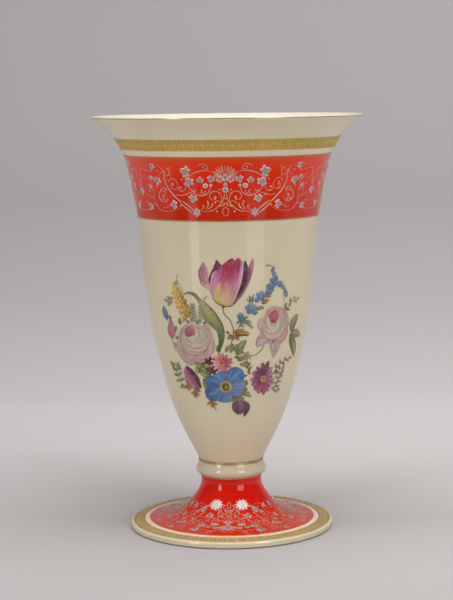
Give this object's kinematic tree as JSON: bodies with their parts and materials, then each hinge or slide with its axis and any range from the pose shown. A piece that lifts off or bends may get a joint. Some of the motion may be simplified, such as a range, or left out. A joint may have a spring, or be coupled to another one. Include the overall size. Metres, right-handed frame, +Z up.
{
  "type": "footed flower vase",
  "caption": "Tall footed trumpet vase of cream porcelain with red and gold bands, silver scroll ornament and a painted bouquet, clamped together by a bolt.",
  "frame": {"origin": "centre of the foot ring, on the surface the vase stands on", "axes": "+Z up along the vase's axis, -Y towards the painted front, +X to the viewer's right"},
  "size_m": [0.2274, 0.2274, 0.35],
  "materials": {
    "porcelain": "glossy cream glaze over fine white porcelain",
    "red_enamel": "glossy iron-red on-glaze enamel",
    "etched_gold": "etched gold, matt ground with burnished relief",
    "burnished_gold": "burnished gold line",
    "silver_scroll": "raised silver scroll lines, satin",
    "grey_leaf": "raised silver leaves with grey shading, satin",
    "magenta_paint": "painted petals, magenta to white with a yellow base",
    "rose_paint": "painted petals, pale pink with rose shading",
    "blue_paint": "painted petals, cornflower blue",
    "purple_paint": "painted petals, purple and pink",
    "yellow_paint": "painted florets, yellow ochre",
    "green_paint": "painted leaves and stems, olive green",
    "brass": "bright turned brass",
    "zinc_steel": "zinc-plated steel",
    "rubber": "soft black rubber",
    "cork": "fine pressed cork"
  },
  "bodies": {
    "root": {"bowl": "porcelain", "collar_ring": "porcelain", "foot": "porcelain", "bowl_gasket": "cork", "foot_gasket": "cork", "through_bolt": "brass", "head_washer": "brass", "sealing_washer": "rubber", "cushion_washer": "cork", "steel_washer": "zinc_steel", "clamp_nut": "brass", "rim_gilding": "burnished_gold", "upper_gold_band": "etched_gold", "upper_red_band": "red_enamel", "red_band_lines": "burnished_gold", "joint_gilding": "burnished_gold", "foot_red_enamel": "red_enamel", "foot_gold_band": "etched_gold", "foot_gold_lines": "burnished_gold", "band_scrollwork": "silver_scroll", "band_leaves": "grey_leaf", "foot_scrollwork": "silver_scroll", "foot_leaves": "grey_leaf", "bouquet_tulip": "magenta_paint", "bouquet_roses": "rose_paint", "bouquet_blue_flowers": "blue_paint", "bouquet_purple_flowers": "purple_paint", "bouquet_yellow_spray": "yellow_paint", "bouquet_foliage": "green_paint"}
  },
  "joints": []
}
